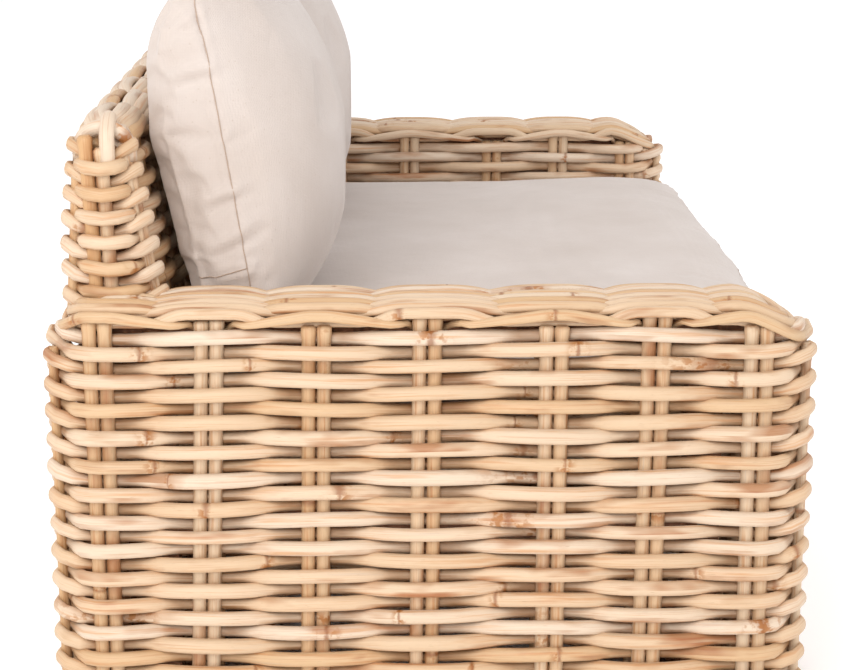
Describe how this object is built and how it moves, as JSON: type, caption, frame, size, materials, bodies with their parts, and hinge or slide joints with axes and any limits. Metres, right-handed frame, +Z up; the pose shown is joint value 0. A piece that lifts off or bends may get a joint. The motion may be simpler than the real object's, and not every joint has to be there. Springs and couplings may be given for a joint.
{
  "type": "rattan garden sofa",
  "caption": "Garden sofa of woven rattan cane with rounded arms, a raked back, a loose bench seat cushion and loose back cushions.",
  "frame": {"origin": "on the floor, below the centre of the sofa's bounding box", "axes": "+X along the sofa, from its left arm to its right arm as seen from the front; +Y from the front to the back; +Z up"},
  "size_m": [1.5, 0.9096, 0.9712],
  "materials": {
    "weave_cane": "satin",
    "border_cane": "satin",
    "stake_cane": "satin",
    "hardwood": "matte",
    "cotton": "matte",
    "nylon": "matte",
    "zinc_steel": "satin"
  },
  "bodies": {
    "frame": {"apron_border": "border_cane", "apron_stakes": "stake_cane", "apron_weave": "weave_cane", "back_border": "border_cane", "back_front_stakes": "stake_cane", "back_rear_stakes": "stake_cane", "back_top_rail": "hardwood", "back_weave": "weave_cane", "centre_glide": "nylon", "centre_leg": "hardwood", "front_bottom_rail": "hardwood", "left_apron_block": "hardwood", "left_arm_border": "border_cane", "left_arm_bottom_rail": "hardwood", "left_arm_seat_rail": "hardwood", "left_arm_stakes": "stake_cane", "left_arm_top_rail": "hardwood", "left_arm_weave": "weave_cane", "left_back_glide": "nylon", "left_back_post": "hardwood", "left_front_bolt": "zinc_steel", "left_front_glide": "nylon", "left_front_post": "hardwood", "left_rear_bolt": "zinc_steel", "left_rear_glide": "nylon", "left_rear_post": "hardwood", "left_seat_ledger": "hardwood", "middle_back_glide": "nylon", "middle_back_post": "hardwood", "rear_bottom_rail": "hardwood", "right_apron_block": "hardwood", "right_arm_border": "border_cane", "right_arm_bottom_rail": "hardwood", "right_arm_seat_rail": "hardwood", "right_arm_stakes": "stake_cane", "right_arm_top_rail": "hardwood", "right_arm_weave": "weave_cane", "right_back_glide": "nylon", "right_back_post": "hardwood", "right_front_bolt": "zinc_steel", "right_front_glide": "nylon", "right_front_post": "hardwood", "right_rear_bolt": "zinc_steel", "right_rear_glide": "nylon", "right_rear_post": "hardwood", "right_seat_ledger": "hardwood", "seat_centre_beam": "hardwood", "seat_front_rail": "hardwood", "seat_rear_rail": "hardwood", "seat_slat_1": "hardwood", "seat_slat_2": "hardwood", "seat_slat_3": "hardwood", "seat_slat_4": "hardwood", "seat_slat_5": "hardwood", "seat_slat_6": "hardwood"},
    "seat_cushion": {"seat_cushion": "cotton"},
    "left_back_cushion": {"left_back_cushion": "cotton"},
    "right_back_cushion": {"right_back_cushion": "cotton"}
  },
  "joints": [
    {"name": "seat_cushion_lift", "type": "slide", "parent": "frame", "child": "seat_cushion", "axis": [0, 0, 1], "range_m": [0, 0.5]},
    {"name": "left_back_cushion_lift", "type": "slide", "parent": "seat_cushion", "child": "left_back_cushion", "axis": [0, 0, 1], "range_m": [0, 0.35]},
    {"name": "right_back_cushion_lift", "type": "slide", "parent": "seat_cushion", "child": "right_back_cushion", "axis": [0, 0, 1], "range_m": [0, 0.35]}
  ]
}
